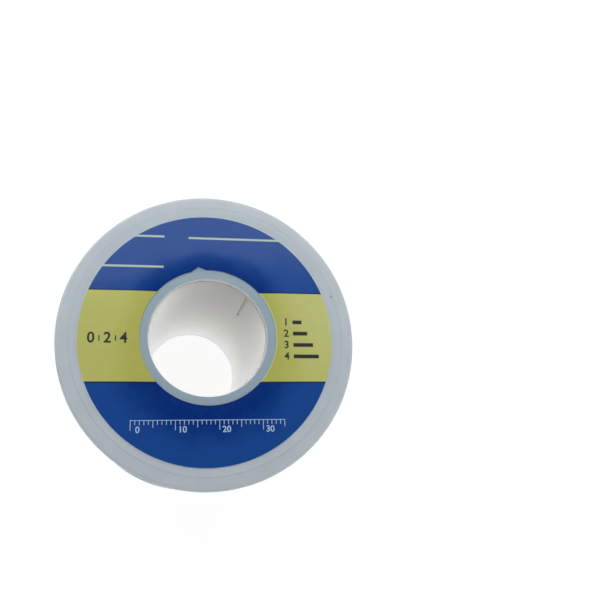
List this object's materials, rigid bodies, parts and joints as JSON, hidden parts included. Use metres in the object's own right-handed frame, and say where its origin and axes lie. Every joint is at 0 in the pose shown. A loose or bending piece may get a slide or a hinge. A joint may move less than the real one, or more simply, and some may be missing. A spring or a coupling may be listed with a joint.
{
  "type": "solder wire spool",
  "caption": "Flanged spool of close-wound solder wire on a hollow barrel, with a printed ring label on its front flange; it turns on a spindle through the bore and pays the wire out.",
  "frame": {"origin": "centre of the rear flange's outer face, which the spool stands on", "axes": "+Z along the bore, from the rear flange to the labelled front flange; +X to the right and +Y up across the label as it is read"},
  "size_m": [0.07, 0.07, 0.067],
  "materials": {
    "flange_plastic": "moulded, translucent, satin",
    "barrel_plastic": "smooth, off-white",
    "label_film": "semi-gloss printed film",
    "solder": "satin drawn tin-lead wire",
    "flux_resin": "amber resin"
  },
  "bodies": {
    "root": {"front_flange": "flange_plastic", "rear_flange": "flange_plastic", "barrel": "barrel_plastic", "front_label": "label_film", "solder_inner_layers": "solder", "solder_outer_layer": "solder", "resin_core": "flux_resin"}
  },
  "joints": []
}
